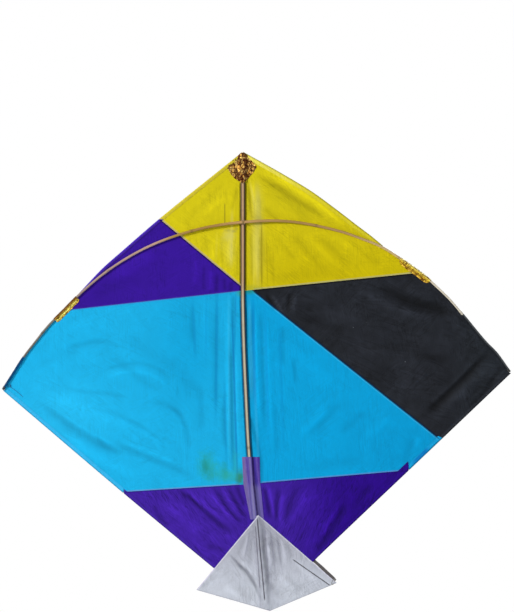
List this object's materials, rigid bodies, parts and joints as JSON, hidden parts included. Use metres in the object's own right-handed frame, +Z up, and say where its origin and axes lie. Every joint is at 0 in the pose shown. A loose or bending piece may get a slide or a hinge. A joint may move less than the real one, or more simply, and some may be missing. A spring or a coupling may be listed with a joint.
{
  "type": "fighter kite",
  "caption": "Flat diamond paper fighter kite with a bamboo spine, a bent bamboo bow across the wings and a small tail fin; both wings flex back about the spine.",
  "frame": {"origin": "on the flat front face of the spine, 15 mm below the point where the bow crosses it, where the upper bridle leg is tied", "axes": "+Z up the spine to the nose, +X to the right wing tip as seen from the stick side, -Y out of the stick side towards the flyer"},
  "size_m": [0.6118, 0.0091, 0.5501],
  "materials": {
    "bamboo": "split bamboo, satin, knots and fine lengthwise grain",
    "bamboo_dark": "dark split bamboo, matt",
    "thread": "twisted cotton thread, matt",
    "dark_thread": "twisted cotton thread, matt",
    "yellow_paper": "thin kite paper, slightly translucent, soft creases",
    "purple_paper": "thin kite paper, slightly translucent, soft creases",
    "cyan_paper": "thin kite paper, slightly translucent, soft creases",
    "black_paper": "thin kite paper, soft creases",
    "silver_paper": "silver-white crinkled paper",
    "strip_paper": "translucent lilac paper strip",
    "gold_foil": "crinkled metallic gold foil paper"
  },
  "bodies": {
    "spine_frame": {"spine": "bamboo", "bow_centre": "bamboo", "bow_lashing": "thread", "nose_patch": "gold_foil", "spine_strip": "strip_paper", "tail_fin_fold": "silver_paper"},
    "left_wing": {"sail_yellow_left": "yellow_paper", "sail_purple_upper": "purple_paper", "sail_cyan_left": "cyan_paper", "sail_purple_lower_left": "purple_paper", "bow_left": "bamboo", "bow_sleeve_left": "cyan_paper", "tip_binding_left": "dark_thread", "bow_patch_left": "gold_foil", "hem_cord_upper_left": "thread", "hem_cord_lower_left": "thread", "tail_fin_left": "silver_paper", "fin_stiffener_left": "bamboo_dark"},
    "right_wing": {"sail_yellow_right": "yellow_paper", "sail_black": "black_paper", "sail_cyan_right": "cyan_paper", "sail_purple_lower_right": "purple_paper", "bow_right": "bamboo", "bow_sleeve_right": "black_paper", "tip_binding_right": "dark_thread", "bow_patch_right": "gold_foil", "hem_cord_upper_right": "thread", "hem_cord_lower_right": "thread", "tail_fin_right": "silver_paper", "fin_stiffener_right": "bamboo_dark"}
  },
  "joints": [
    {"name": "left_wing_flex", "type": "hinge", "parent": "spine_frame", "child": "left_wing", "pos_m": [0, 0.0025, 0.099], "axis": [0.0482, 0, -0.9988], "range_deg": [0, 25], "stiffness_Nm_per_rad": 0.5},
    {"name": "right_wing_flex", "type": "hinge", "parent": "spine_frame", "child": "right_wing", "pos_m": [0, 0.0025, 0.099], "axis": [0, 0, 1], "range_deg": [0, 25], "stiffness_Nm_per_rad": 0.5}
  ]
}
